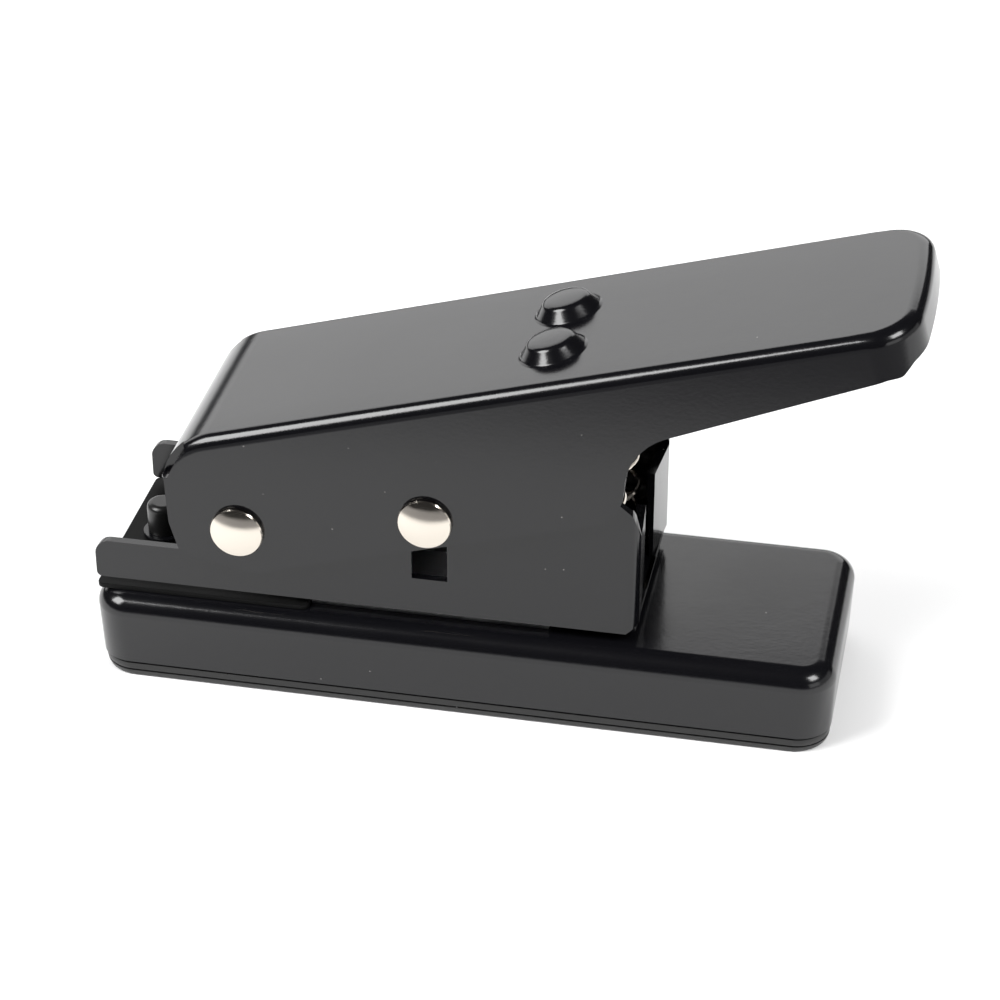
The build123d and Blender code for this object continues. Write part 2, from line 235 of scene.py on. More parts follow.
def turned(
    name: str, profile: Sequence[Point], centre: Vector, axis: Triple, steps: int = 48,
) -> bpy.types.Object:
    """Spin a profile into a closed turned piece.

    Args:
        name: The object's name.
        profile: (radius, height along the axis) in millimetres, starting and ending at radius 0.
        centre: The point where height is 0.
        axis: Unit vector of the axis, along +Z, +Y or -Y.
        steps: Faces round the piece.

    Returns:
        The turned piece.
    """
    along = Vector(axis)
    out = Vector((1, 0, 0))
    obj = drawn_line(name, [centre + out * (r * MM) + along * (h * MM) for r, h in profile])
    bpy.ops.mesh.spin(steps=steps, angle=2 * math.pi, center=centre, axis=along, use_auto_merge=False)
    bpy.ops.mesh.select_all(action="SELECT")
    bpy.ops.mesh.remove_doubles(threshold=WELD)
    bpy.ops.mesh.normals_make_consistent(inside=False)
    rest_tools()
    return obj


def copy_of(node: str, name: str) -> bpy.types.Object:
    """Copy a plain machined node's mesh, weld it and clear its flats, ready for broken edges."""
    source = frame["nodes"][node]
    obj = bpy.data.objects.new(name, source.data.copy())
    bpy.context.scene.collection.objects.link(obj)
    obj.data.materials.clear()
    pick(obj, "verts", lambda v: True)
    bpy.ops.mesh.remove_doubles(threshold=WELD)
    bpy.ops.mesh.dissolve_limited(angle_limit=math.radians(1.0))
    bpy.ops.mesh.normals_make_consistent(inside=False)
    rest_tools()
    return obj


def break_edges(obj: bpy.types.Object, width: float, angle: float, segments: int = 2) -> None:
    """Give every sharp edge the small radius that paint or tumbling leaves, in millimetres."""
    apply_modifier(
        obj, "BEVEL", width=width * MM, segments=segments, limit_method="ANGLE",
        angle_limit=math.radians(angle), miter_outer="MITER_ARC", use_clamp_overlap=True,
    )


def finish_piece(
    obj: bpy.types.Object, body: str, material: bpy.types.Material, slot: str, *nodes: str,
) -> None:
    """Shade a finished piece, dress it and hand it to its body.

    Args:
        obj: The piece, whose place is in its mesh.
        body: The CAD body that it rides on, or nothing to leave it unattached.
        material: Its finish.
        slot: The record's material slot; not used.
        nodes: CAD nodes that it stands for.
    """
    take(obj)
    bpy.ops.object.shade_smooth_by_angle(angle=math.radians(32))
    obj.data.materials.clear()
    obj.data.materials.append(material)
    apply_modifier(obj, "WEIGHTED_NORMAL", weight=100, keep_sharp=True)
    if nodes:
        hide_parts(*nodes)
    if body:
        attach(obj, body)
    log.info("made %s: %d faces", obj.name, len(obj.data.polygons))


# ---- finishes ------------------------------------------------------------------------------


class Slot(Enum):
    """The record's material slots."""

    ENAMEL = "black_enamel"
    TOOL_STEEL = "tool_steel"
    NICKEL = "nickel"
    ZINC = "zinc_steel"
    PLASTIC = "black_plastic"


class Effects:
    """Shader node groups that several finishes share."""

    def __init__(self) -> None:
        """Build each group once."""
        self.peel = self._peel()
        self.dust = self._dust()
        self.haze = self._haze()

    @staticmethod
    def _group(name: str, inputs: dict[str, float], outputs: dict[str, str]) -> tuple:
        """Start a group with an Object-coordinate Vector input and named float inputs.

        Args:
            name: The group's name.
            inputs: Float inputs and their defaults.
            outputs: Output names and their socket types.

        Returns:
            The tree, its input node and its output node.
        """
        tree = bpy.data.node_groups.new(name, "ShaderNodeTree")
        tree.interface.new_socket("Vector", in_out="INPUT", socket_type="NodeSocketVector")
        for key, value in inputs.items():
            socket = tree.interface.new_socket(key, in_out="INPUT", socket_type="NodeSocketFloat")
            socket.default_value = value
        for key, kind in outputs.items():
            tree.interface.new_socket(key, in_out="OUTPUT", socket_type=kind)
        return tree, tree.nodes.new("NodeGroupInput"), tree.nodes.new("NodeGroupOutput")

    def _peel(self) -> bpy.types.NodeTree:
        """Fine sprayed texture: a height for a Bump node."""
        inputs = {"Scale": 900.0, "Coarse": 0.5}
        tree, given, made = self._group("sprayed_texture", inputs, {"Height": "NodeSocketFloat"})
        fine = tree.nodes.new("ShaderNodeTexNoise")
        fine.inputs["Detail"].default_value = 1.0
        tree.links.new(given.outputs["Vector"], fine.inputs["Vector"])
        tree.links.new(given.outputs["Scale"], fine.inputs["Scale"])
        slow = tree.nodes.new("ShaderNodeMath")
        slow.operation = "MULTIPLY"
        slow.inputs[1].default_value = 0.22
        tree.links.new(given.outputs["Scale"], slow.inputs[0])
        wide = tree.nodes.new("ShaderNodeTexNoise")
        wide.inputs["Detail"].default_value = 1.0
        tree.links.new(given.outputs["Vector"], wide.inputs["Vector"])
        tree.links.new(slow.outputs[0], wide.inputs["Scale"])
        mix = tree.nodes.new("ShaderNodeMix")
        mix.data_type = "FLOAT"
        tree.links.new(given.outputs["Coarse"], mix.inputs["Factor"])
        tree.links.new(fine.outputs["Fac"], mix.inputs["A"])
        tree.links.new(wide.outputs["Fac"], mix.inputs["B"])
        tree.links.new(mix.outputs["Result"], made.inputs["Height"])
        return tree

    def _dust(self) -> bpy.types.NodeTree:
        """Sparse round dust specks: a mask."""
        inputs = {"Scale": 260.0, "Size": 0.1, "Share": 0.1}
        tree, given, made = self._group("dust_specks", inputs, {"Mask": "NodeSocketFloat"})
        cells = tree.nodes.new("ShaderNodeTexVoronoi")
        cells.feature = "F1"
        tree.links.new(given.outputs["Vector"], cells.inputs["Vector"])
        tree.links.new(given.outputs["Scale"], cells.inputs["Scale"])
        near = tree.nodes.new("ShaderNodeMath")
        near.operation = "LESS_THAN"
        tree.links.new(cells.outputs["Distance"], near.inputs[0])
        tree.links.new(given.outputs["Size"], near.inputs[1])
        part = tree.nodes.new("ShaderNodeSeparateColor")
        tree.links.new(cells.outputs["Color"], part.inputs["Color"])
        rare = tree.nodes.new("ShaderNodeMath")
        rare.operation = "LESS_THAN"
        tree.links.new(part.outputs["Red"], rare.inputs[0])
        tree.links.new(given.outputs["Share"], rare.inputs[1])
        both = tree.nodes.new("ShaderNodeMath")
        both.operation = "MULTIPLY"
        tree.links.new(near.outputs[0], both.inputs[0])
        tree.links.new(rare.outputs[0], both.inputs[1])
        tree.links.new(both.outputs[0], made.inputs["Mask"])
        return tree

    def _haze(self) -> bpy.types.NodeTree:
        """Slow cloudy change between a low and a high value, as handling leaves in a gloss."""
        inputs = {"Scale": 45.0, "Low": 0.2, "High": 0.3}
        tree, given, made = self._group("handling_haze", inputs, {"Value": "NodeSocketFloat"})
        cloud = tree.nodes.new("ShaderNodeTexNoise")
        cloud.inputs["Detail"].default_value = 3.0
        tree.links.new(given.outputs["Vector"], cloud.inputs["Vector"])
        tree.links.new(given.outputs["Scale"], cloud.inputs["Scale"])
        spread = tree.nodes.new("ShaderNodeMapRange")
        spread.inputs["From Min"].default_value = 0.3
        spread.inputs["From Max"].default_value = 0.7
        tree.links.new(cloud.outputs["Fac"], spread.inputs["Value"])
        tree.links.new(given.outputs["Low"], spread.inputs["To Min"])
        tree.links.new(given.outputs["High"], spread.inputs["To Max"])
        tree.links.new(spread.outputs["Result"], made.inputs["Value"])
        return tree


@dataclass(frozen=True)
class Finish:
    """One surface finish, built as a Principled material on Object coordinates."""

    name: str
    color: Triple
    metallic: float = 0.0
    rough_low: float = 0.2
    rough_high: float = 0.3
    haze_scale: float = 45.0
    peel_scale: float = 900.0
    peel_coarse: float = 0.5
    peel_depth: float = 0.00001
    coat: float = 0.0
    coat_rough: float = 0.05
    specular: float = 0.5
    dust_share: float = 0.0
    dust_scale: float = 420.0
    dust_size: float = 0.045
    dust_color: Triple = (0.16, 0.155, 0.15)

    def material(self, effects: Effects) -> bpy.types.Material:
        """Build the material.

        Args:
            effects: The shared node groups.

        Returns:
            The material.
        """
        made = bpy.data.materials.new(self.name)
        made.use_nodes = True
        tree = made.node_tree
        shader = tree.nodes["Principled BSDF"]
        shader.inputs["Metallic"].default_value = self.metallic
        shader.inputs["Coat Weight"].default_value = self.coat
        shader.inputs["Coat Roughness"].default_value = self.coat_rough
        shader.inputs["Specular IOR Level"].default_value = self.specular
        shader.inputs["Base Color"].default_value = (*self.color, 1.0)
        place = tree.nodes.new("ShaderNodeTexCoord").outputs["Object"]

        cloud = {"Scale": self.haze_scale, "Low": self.rough_low, "High": self.rough_high}
        haze = self._use(tree, effects.haze, place, **cloud)
        tree.links.new(haze.outputs["Value"], shader.inputs["Roughness"])

        peel = self._use(tree, effects.peel, place, Scale=self.peel_scale, Coarse=self.peel_coarse)
        bump = tree.nodes.new("ShaderNodeBump")
        bump.inputs["Strength"].default_value = 1.0
        bump.inputs["Distance"].default_value = self.peel_depth
        tree.links.new(peel.outputs["Height"], bump.inputs["Height"])
        tree.links.new(bump.outputs["Normal"], shader.inputs["Normal"])

        if self.dust_share > 0:
            specks = {"Scale": self.dust_scale, "Size": self.dust_size, "Share": self.dust_share}
            dust = self._use(tree, effects.dust, place, **specks)
            tint = tree.nodes.new("ShaderNodeMix")
            tint.data_type = "RGBA"
            tint.inputs["A"].default_value = (*self.color, 1.0)
            tint.inputs["B"].default_value = (*self.dust_color, 1.0)
            tree.links.new(dust.outputs["Mask"], tint.inputs["Factor"])
            tree.links.new(tint.outputs["Result"], shader.inputs["Base Color"])
        return made

    @staticmethod
    def _use(
        tree: bpy.types.NodeTree, group: bpy.types.NodeTree, place: bpy.types.NodeSocket, **values: float,
    ) -> bpy.types.Node:
        """Place a shared group in a material and set its values."""
        node = tree.nodes.new("ShaderNodeGroup")
        node.node_tree = group
        tree.links.new(place, node.inputs["Vector"])
        for key, value in values.items():
            node.inputs[key].default_value = value
        return node


class Finishes:
    """Every finish on the punch: one by slot, and a duller one for the guide plate."""

    def __init__(self, effects: Effects) -> None:
        """Build one material per slot."""
        enamel = Finish(
            "gloss_black_enamel", (0.0035, 0.0035, 0.0045), rough_low=0.14, rough_high=0.19, specular=0.5,
            peel_scale=1900.0, peel_depth=0.000012, dust_share=0.12,
        )
        plastic = Finish(
            "moulded_black_plastic", (0.006, 0.006, 0.006), rough_low=0.26, rough_high=0.34,
            peel_scale=4000.0, peel_depth=0.000008, dust_share=0.1,
        )
        nickel = Finish(
            "polished_nickel", (0.66, 0.61, 0.54), metallic=1.0, rough_low=0.10, rough_high=0.16,
            haze_scale=300.0, peel_scale=1400.0, peel_depth=0.000006,
        )
        steel = Finish(
            "ground_tool_steel", (0.42, 0.42, 0.43), metallic=1.0, rough_low=0.28, rough_high=0.4,
            haze_scale=120.0, peel_scale=6000.0, peel_depth=0.000004,
        )
        zinc = Finish(
            "bright_zinc", (0.62, 0.63, 0.62), metallic=1.0, rough_low=0.25, rough_high=0.42,
            haze_scale=200.0, peel_scale=3000.0, peel_depth=0.000006,
        )
        self.dull = Finish(
            "dull_black_plate", (0.004, 0.004, 0.004), rough_low=0.5, rough_high=0.58, specular=0.12,
            peel_scale=2500.0, peel_depth=0.000006,
        ).material(effects)
        self.by_slot = {
            Slot.ENAMEL: enamel.material(effects),
            Slot.PLASTIC: plastic.material(effects),
            Slot.NICKEL: nickel.material(effects),
            Slot.TOOL_STEEL: steel.material(effects),
            Slot.ZINC: zinc.material(effects),
        }

    def __getitem__(self, slot: Slot) -> bpy.types.Material:
        """The material of a slot."""
        return self.by_slot[slot]


# ---- sub-assemblies ------------------------------------------------------------------------


@dataclass
class Base:
    """The long base: a pressed cover with rolled edges on a plastic chip tray. Sizes in millimetres."""

    finishes: Finishes
    corner: float = 4.8
    edge: float = 2.8
    sheet: float = 1.0
    draft: float = 2.0
    gap: float = 0.35
    window_rear: float = -14.7
    window_front: float = 6.0
    window_half: float = 7.5
    foot_draft: float = 0.25
    foot_radius: float = 0.35
    foot_top: float = 1.0
    groove: float = 0.25
    neck: Point = (0.9, 1.3)
    lip: Point = (1.25, 2.2)
    rim_margin: float = 1.5
    rim_root: float = 0.2
    hollow_margin: float = 2.7
    hollow_floor: float = 1.4
    broken: float = 0.15

    def build(self) -> None:
        """Make the cover and the tray."""
        self._cover()
        self._tray()

    def _rounded_block(
        self, name: str, low: Vector, high: Vector, inset: float, corner: float,
    ) -> bpy.types.Object:
        """Make a box whose foot is drawn in and whose upright corners are round.

        Args:
            name: The object's name.
            low: Lowest corner, in metres.
            high: Highest corner, in metres.
            inset: How far the foot is drawn in on each side, in metres.
            corner: Radius of the upright corners, in metres.

        Returns:
            The closed box.
        """
        obj = block(name, low, high)
        middle = (low.z + high.z) / 2
        pick(obj, "verts", lambda v: v.co.z < middle)
        size = high - low
        shrink = (1 - 2 * inset / size.x, 1 - 2 * inset / size.y, 1)
        centre = Vector(((low.x + high.x) / 2, (low.y + high.y) / 2, low.z))
        bpy.ops.transform.resize(value=shrink, center_override=centre)
        bevel_edges(obj, lambda e: rise(e) > size.z * 0.9, corner, 14)
        return obj

    def _layer(self, name: str, box: Sequence[Vector], margin: float, span: Point) -> bpy.types.Object:
        """One upright-sided layer of the tray.

        Args:
            name: The object's name.
            box: The tray's lowest and highest corners.
            margin: How far the layer stands in from the tray's sides, in millimetres.
            span: The heights of its bottom and top over the tray's foot, in millimetres.

        Returns:
            The closed layer.
        """
        low, high = box
        shift = margin * MM
        start = Vector((low.x + shift, low.y + shift, low.z + span[0] * MM))
        end = Vector((high.x - shift, high.y - shift, low.z + span[1] * MM))
        return self._rounded_block(name, start, end, 0.0, (self.corner - margin) * MM)

    @staticmethod
    def _on_rim(edge: bmesh.types.BMEdge, top: float) -> bool:
        """Whether an edge runs round the top face."""
        level = all(v.co.z > top - TOUCH for v in edge.verts)
        return level and any(abs(f.normal.z) < 0.5 for f in edge.link_faces)

    def _cover(self) -> None:
        """Press the cover: round corners, rolled top edge, thin wall, window."""
        low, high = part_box("base_cover")
        inset = (high.z - low.z - self.edge * MM) * math.tan(math.radians(self.draft))
        foot, waist = low.z + self.gap * MM, high.z - self.edge * MM
        start, end = Vector((low.x, low.y, foot)), Vector((high.x, high.y, waist))
        obj = self._rounded_block("pressed_cover", start, end, inset, self.corner * MM)
        pick(obj, "faces", lambda f: f.normal.z > 0.9)
        bpy.ops.mesh.extrude_region_move(TRANSFORM_OT_translate={"value": (0, 0, self.edge * MM)})
        bevel_edges(obj, lambda e: self._on_rim(e, high.z), (self.edge - 0.05) * MM, 10)
        remove_faces(obj, lambda f: f.normal.z < -0.9)
        apply_modifier(obj, "SOLIDIFY", thickness=self.sheet * MM, offset=-1.0, use_even_offset=True)
        level = Vector((0, 0, high.z))
        window = block(
            "window", level + mm(self.window_rear, -self.window_half, -3),
            level + mm(self.window_front, self.window_half, 1),
        )
        combine(obj, window, "DIFFERENCE")
        break_edges(obj, self.broken, 50)
        finish_piece(obj, "frame", self.finishes[Slot.ENAMEL], Slot.ENAMEL.value, "base_cover")

    def _tray(self) -> None:
        """Mould the tray: a drawn-in foot, a groove, a lip and a rim inside the cover."""
        low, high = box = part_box("bottom_tray")
        height = (high.z - low.z) / MM
        end = Vector((high.x, high.y, low.z + self.foot_top * MM))
        obj = self._rounded_block("chip_tray", low, end, self.foot_draft * MM, self.corner * MM)
        bevel_edges(obj, lambda e: all(v.co.z < low.z + TOUCH for v in e.verts), self.foot_radius * MM, 4)
        combine(obj, self._layer("neck", box, self.groove, self.neck), "UNION")
        combine(obj, self._layer("lip", box, 0.0, self.lip), "UNION")
        combine(obj, self._layer("rim", box, self.rim_margin, (self.lip[1] - self.rim_root, height)), "UNION")
        hollow = self._layer("hollow", box, self.hollow_margin, (self.hollow_floor, height + 1))
        combine(obj, hollow, "DIFFERENCE")
        break_edges(obj, self.broken, 50)
        finish_piece(obj, "frame", self.finishes[Slot.PLASTIC], Slot.PLASTIC.value, "bottom_tray")


@dataclass
class SideFrame:
    """The upright frame: two walls, a floor and two front flanges bent from one sheet. In millimetres."""

    finishes: Finishes
    sheet: float = 1.2
    bend: float = 1.5
    wing: float = 5.85
    flange_top: float = 14.6
    flange_gap: float = 8.0
    floor_start: float = 27.5
    slot_x: float = 47.0
    slot_width: float = 4.9
    slot_foot: float = 5.3
    slot_head: float = 17.85
    window_rear: float = 40.6
    window_front: float = 53.4
    window_half: float = 4.7
    opening: float = 5.0
    broken: float = 0.22

    def build(self) -> None:
        """Bend, trim and pierce the frame."""
        low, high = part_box("side_frame")
        length, half, top = (high.x - low.x) / MM, high.y / MM, (high.z - low.z) / MM
        rear, foot = low.x / MM, low.z / MM
        obj = block("side_frame_sheet", mm(rear, -half, foot), mm(rear + length, half, foot + top))
        bevel_edges(
            obj, lambda e: rise(e) > 10 * MM and all(v.co.x > high.x - TOUCH for v in e.verts),
            self.bend * MM, 6,
        )
        remove_faces(obj, lambda f: abs(f.normal.z) > 0.9 or f.normal.x < -0.9)
        apply_modifier(obj, "SOLIDIFY", thickness=self.sheet * MM, offset=-1.0, use_even_offset=True)
        front = rear + length
        outline = [
            (rear - 0.01, foot + 0.01, 0.8), (front - 1.6, foot + 0.01, 0), (front + 0.1, foot + 1.5, 0),
            (front + 0.1, foot + self.flange_top, 0), (front - 0.9, foot + 18.6, 2.0),
            (front - 3.2, foot + top - 0.01, 2.0), (rear + 20.0, foot + top - 0.01, 4.0),
            (rear + 15.2, foot + 15.0, 4.0), (rear + 13.6, foot + self.wing + 0.8, 0.6),
            (rear + 12.5, foot + self.wing + 0.7, 0.3), (rear + 11.9, foot + self.wing, 0.3),
            (rear - 0.01, foot + self.wing, 2.2),
        ]
        combine(obj, traced_plate("trim", outline, -half - 1, half + 1), "INTERSECT")
        inner, past = half - self.sheet, front - self.bend - 0.2
        floor_low = mm(rear + self.floor_start, -inner - 0.2, foot + 0.03)
        combine(obj, block("floor", floor_low, mm(front - 0.4, inner + 0.2, foot + self.sheet)), "UNION")
        gap_half, slot_half = self.flange_gap / 2, self.slot_width / 2
        flange_top, slot_middle = foot + self.flange_top, rear + self.slot_x
        cuts = {
            "gap": ((past, -gap_half, foot + self.sheet), (front + 1, gap_half, foot + 30)),
            "over": ((past, -inner + 0.4, flange_top), (front + 1, inner - 0.4, foot + 30)),
            "slot": (
                (slot_middle - slot_half, -half - 1, foot + self.slot_foot),
                (slot_middle + slot_half, half + 1, foot + self.slot_head),
            ),
            "window": (
                (rear + self.window_rear, -self.window_half, foot - 1),
                (rear + self.window_front, self.window_half, foot + 2),
            ),
        }
        for name, (start, end) in cuts.items():
            combine(obj, block(name, mm(*start), mm(*end)), "DIFFERENCE")
        self._spring_back(obj, low.x + (length - self.bend - 0.2) * MM, (half - self.bend) * MM)
        break_edges(obj, self.broken, 50, 3)
        finish_piece(obj, "frame", self.finishes[Slot.ENAMEL], Slot.ENAMEL.value, "side_frame")

    def _spring_back(self, obj: bpy.types.Object, past: float, bend_y: float) -> None:
        """Open each front flange a few degrees, as a bent tab springs back.

        Args:
            obj: The frame.
            past: How far ahead the flanges start, in metres.
            bend_y: Distance of the bend's inner end from the middle, in metres.
        """
        low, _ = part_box("side_frame")
        floor = low.z + self.sheet * MM + 1e-5

        def bent(v: bmesh.types.BMVert, side: int) -> bool:
            """Whether a point belongs to the flange on a side."""
            return v.co.x > past and MM < v.co.y * side < bend_y + 1e-5 and v.co.z > floor

        for side in (-1, 1):
            if pick(obj, "verts", lambda v: bent(v, side)):
                bpy.ops.transform.rotate(
                    value=side * math.radians(self.opening), orient_axis="Z",
                    center_override=(past + self.bend * MM, side * bend_y, 0),
                )
        rest_tools()


@dataclass
class Lever:
    """The pressed lever: a channel with rolled edges, a curled rear and two domed seats. In millimetres."""

    finishes: Finishes
    tilt: float = 15.8
    top: float = 14.4
    rear: float = 9.2
    reach: float = 95.95
    bow: float = 1.0
    width: float = 31.7
    sheet: float = 1.2
    edge: float = 1.9
    corner: float = 6.0
    belly: float = 6.8
    flap_foot: float = 8.2
    flap_half: float = 14.0
    dome_reach: float = 46.7
    dome_spacing: float = 11.4
    dome_radius: float = 4.4
    dome_height: float = 2.0
    dome_flank: float = 1.3
    curl_edge: float = 0.55
    flap_gap: float = 0.65
    broken: float = 0.22

    @property
    def pivot(self) -> Vector:
        """The lever's hinge point."""
        joint = next(j for j in frame["joints"] if j["name"] == "lever_hinge")
        return Vector(joint["pos_m"])

    def build(self) -> None:
        """Press, trim and pierce the lever level at the pivot, then tilt it into place."""
        obj = self._pressing("lever_shell", 0.0)
        combine(obj, self._pressing("hollow", self.sheet), "DIFFERENCE")
        for side in (-1, 1):
            combine(obj, self._cheek_room(side), "DIFFERENCE")
            combine(obj, self._cheek(side), "UNION")
        combine(obj, traced_plate("trim", self._outline(), -20, 20), "INTERSECT")
        gap_half = self.flap_half + self.flap_gap
        open_rear = block("open_rear", mm(-self.rear - 1, -gap_half, -20), mm(-4.2, gap_half, self.flap_foot))
        combine(obj, open_rear, "DIFFERENCE")
        for side in (-1, 1):
            combine(obj, self._relief(side), "DIFFERENCE")
        for side in (-1, 1):
            seat = mm(self.dome_reach, side * self.dome_spacing / 2, self.top)
            combine(obj, turned("dome", self._dome_profile(), seat, (0, 0, 1)), "UNION")
            combine(obj, turned("recess", self._recess_profile(), seat, (0, 0, 1)), "DIFFERENCE")
        break_edges(obj, self.broken, 50, 3)
        obj.location = self.pivot
        obj.rotation_euler = (0, -math.radians(self.tilt), 0)
        take(obj)
        bpy.ops.object.transform_apply(location=True, rotation=True, scale=True)
        finish_piece(obj, "lever", self.finishes[Slot.ENAMEL], Slot.ENAMEL.value, "lever_arm")

    def _pressing(self, name: str, inside: float) -> bpy.types.Object:
        """The lever's outer form, or its hollow when inside is the sheet's thickness.

        Args:
            name: The object's name.
            inside: How far every face and radius is drawn in, in millimetres.

        Returns:
            A closed form, open-ended below the lever's belly.
        """
        half, radius = self.width / 2 - inside, self.rear + 0.1 - inside
        ceiling, back, nose = self.top - inside, -self.rear + inside, self.reach - inside
        shoulder = nose - self.bow
        obj = block(name, mm(back, -half, -20 - inside), mm(shoulder, half, ceiling))
        top, rear, front = ceiling * MM, back * MM, shoulder * MM
        self._bow_nose(obj, front, half * MM)
        bevel_edges(
            obj, lambda e: all(v.co.x < rear + TOUCH and v.co.z > top - TOUCH for v in e.verts),
            radius * MM, 16,
        )
        bevel_edges(
            obj, lambda e: rise(e) > 10 * MM and all(abs(v.co.x - front) < TOUCH for v in e.verts),
            (self.corner - inside) * MM, 10,
        )
        self._roll_edges(obj, top, rear, radius * MM, inside)
        return obj

    def _bow_nose(self, obj: bpy.types.Object, front: float, half: float) -> None:
        """Cut the flat end into strips and push them out into a shallow bow."""
        steps = 8
        flat = half - self.corner * 1.12 * MM
        for i in range(steps + 1):
            pick(obj, "faces", lambda f: f.normal.x > 0.9 or abs(f.normal.z) > 0.9)
            place = (0, flat * (2 * i / steps - 1), 0)
            bpy.ops.mesh.bisect(plane_co=place, plane_no=(0, 1, 0))
        rest_tools()
        for v in obj.data.vertices:
            if v.co.x > front - TOUCH:
                v.co.x += self.bow * MM * (1 - (v.co.y / half) ** 2)

    def _roll_edges(
        self, obj: bpy.types.Object, top: float, rear: float, radius: float, inside: float,
    ) -> None:
        """Roll the edges between the walls and the top, easing off round the curl."""
        middle = Vector((rear + radius, 0, top - radius))

        def share(e: bmesh.types.BMEdge) -> float:
            """How much of the full roll an edge has."""
            walls = sum(1 for f in e.link_faces if abs(f.normal.z) < 0.1 and not (f.normal.x < -0.9))
            place = (e.verts[0].co + e.verts[1].co) / 2
            if walls != 1 or place.z < -0.0199:
                return 0.0
            if place.z > top - TOUCH or place.x > middle.x:
                return 1.0
            swing = math.degrees(math.atan2(place.z - middle.z, place.x - middle.x)) % 360
            return max(self.curl_edge, 1 - (swing - 90) / 60 * (1 - self.curl_edge))

        pick(obj, "edges", lambda e: True)
        mesh = bmesh.from_edit_mesh(obj.data)
        weight = mesh.edges.layers.float.new("bevel_weight_edge")
        for e in mesh.edges:
            e[weight] = share(e)
        bmesh.update_edit_mesh(obj.data)
        width = (self.edge - inside) * MM
        apply_modifier(obj, "BEVEL", width=width, segments=6, limit_method="WEIGHT", use_clamp_overlap=False)

    def _outline(self) -> list[Triple]:
        """Side outline: (along, above, corner radius)."""
        low = -self.belly
        return [
            (-self.rear + 0.01, self.top + 5, 0), (-self.rear + 0.01, -1.9, 1.4), (0.5, low - 0.4, 6.0),
            (6.0, low, 10.0), (52.0, low, 5.6), (56.0, 3.85, 8.0), (90.6, 8.1, 2.0), (92.4, 7.9, 0.8),
            (94.0, 9.1, 1.0),
            (self.reach + 1, 10.0, 0), (self.reach + 1, self.top + 5, 0),
        ]

    def _cheek(self, side: int) -> bpy.types.Object:
        """Rear end of a wall below the relief, where it stays flat up to its cut edge."""
        foot, step, back = self.flap_foot, 0.8, -self.rear
        corners = [
            (back, -15, 0), (back, foot - 5.5, 3.0), (back + step, foot - 2, 3.0),
            (back + 2 * step, foot + self.sheet, 0), (back + 6 * step, foot + self.sheet, 0),
            (back + 6 * step, -15, 0),
        ]
        half = self.width / 2
        ends = (half - self.sheet, half) if side > 0 else (-half, self.sheet - half)
        return traced_plate("cheek", corners, *ends)

    def _cheek_room(self, side: int) -> bpy.types.Object:
        """The room behind a cheek that the curl's block still fills."""
        half, far = self.flap_half, self.width / 2 + 1
        low, high = (half, far) if side > 0 else (-far, -half)
        ceiling = self.flap_foot + self.sheet
        return block("room", mm(-self.rear - 2, low, -16), mm(-self.rear + 4.0, high, ceiling))

    def _relief(self, side: int) -> bpy.types.Object:
        """Crescent that parts the curled flap from a wall."""
        radius = self.rear + 0.1
        start, sweep, steps = 113.0, 37.0, 9
        angles = [math.radians(start + sweep * i / steps) for i in range(steps + 1)]
        centre = self.top - radius

        def arc(reach: float) -> list[Triple]:
            """The crescent's points at one distance from the curl's centre."""
            return [(math.cos(a) * reach, centre + math.sin(a) * reach, 0) for a in angles]

        outer, inner = arc(radius + 1.0), arc(radius - 1.1)[::-1]
        inner[0] = (*inner[0][:2], 0.8)
        inner[-1] = (*inner[-1][:2], 0.8)
        near, far = self.flap_half, self.width / 2 + 1
        ends = (near, far) if side > 0 else (-far, -near)
        return traced_plate("relief", outer + inner, *ends)

    def _dome_profile(self) -> list[Point]:
        """Pressed seat: a soft foot, a steep flank and a nearly flat, slightly domed top."""
        foot, height, ridge = self.dome_radius, self.dome_height, self.dome_radius - self.dome_flank
        edge = [
            (foot + 0.3, 0.01), (foot + 0.05, 0.07), (foot - 0.12, 0.24), (ridge + 0.24, height - 0.55),
            (ridge + 0.1, height - 0.34), (ridge - 0.12, height - 0.19), (ridge - 0.42, height - 0.11),
        ]
        shoulder, crown = ridge - 0.42, 0.11
        steps = 4
        top = [
            (shoulder - shoulder * i / steps, height - crown + crown * (1 - (1 - i / steps) ** 2))
            for i in range(1, steps + 1)
        ]
        return [(0.0, -0.6), (foot + 0.3, -0.6), *edge, *top]

    def _recess_profile(self) -> list[Point]:
        """The seat's hollow underside."""
        foot, height = self.dome_radius - 0.7, self.dome_height - self.sheet
        ridge = foot - self.dome_flank
        return [(0.0, -3.0), (foot, -3.0), (foot, -self.sheet), (ridge, height), (0.0, height)]


